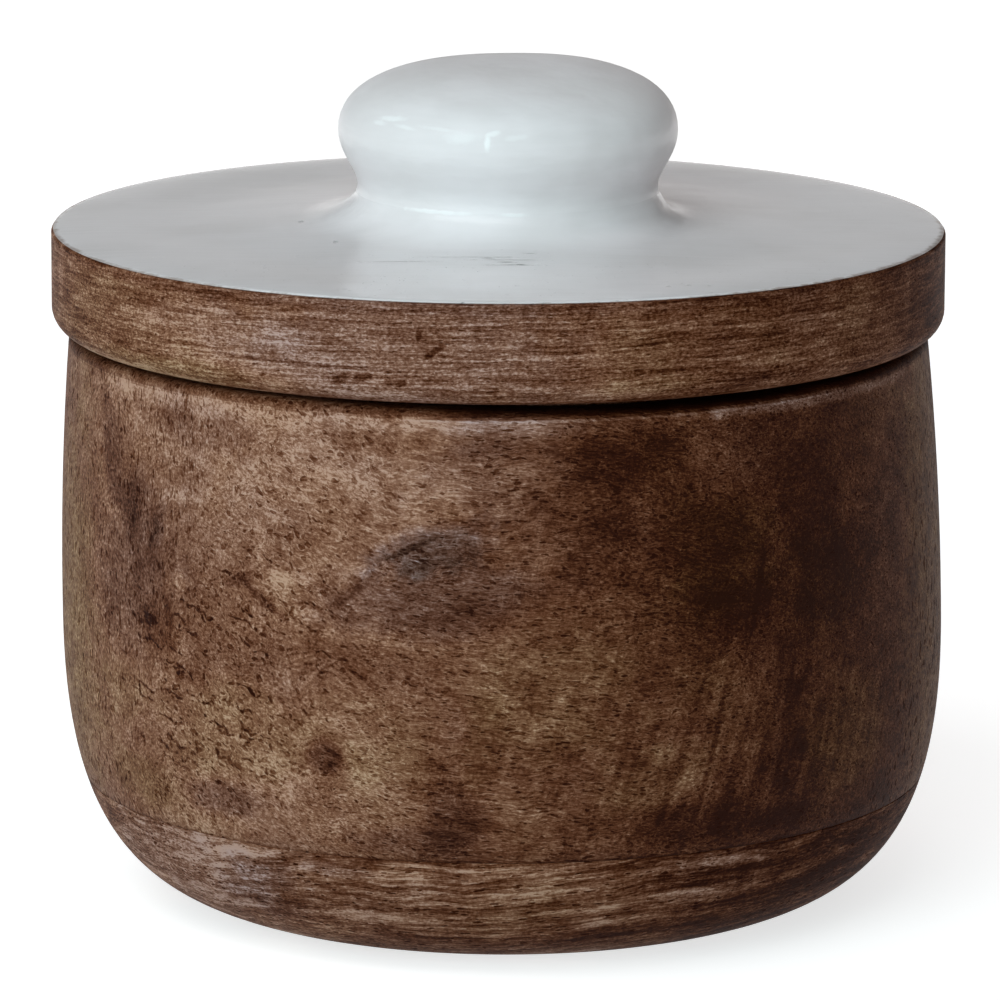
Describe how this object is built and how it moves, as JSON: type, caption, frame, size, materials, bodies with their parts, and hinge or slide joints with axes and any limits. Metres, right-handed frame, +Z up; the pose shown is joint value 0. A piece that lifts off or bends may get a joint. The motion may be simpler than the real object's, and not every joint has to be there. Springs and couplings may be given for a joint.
{
  "type": "salt box",
  "caption": "Squat turned wooden salt box with a glued base board and an overhanging lift-off lid, enamelled white on top, with a mushroom knob.",
  "frame": {"origin": "centre of the foot, on the surface that the box stands on", "axes": "+Z up along the turning axis; the front, seen in the picture, faces -Y; the box is the same all round"},
  "size_m": [0.127, 0.127, 0.1203],
  "materials": {
    "base_wood": "dark stain, satin wax",
    "wall_wood": "dark stain, satin wax",
    "lid_wood": "dark stain, satin wax",
    "knob_wood": "bare, under the enamel",
    "enamel": "white enamel, satin gloss",
    "screw_steel": "zinc plated"
  },
  "bodies": {
    "jar": {"base_disc": "base_wood", "body_wall": "wall_wood"},
    "lid": {"lid_board": "lid_wood", "knob": "knob_wood", "enamel_coat": "enamel", "knob_screw": "screw_steel"}
  },
  "joints": [
    {"name": "lid_lift", "type": "slide", "parent": "jar", "child": "lid", "axis": [0, 0, 1], "range_m": [0, 0.1]}
  ]
}
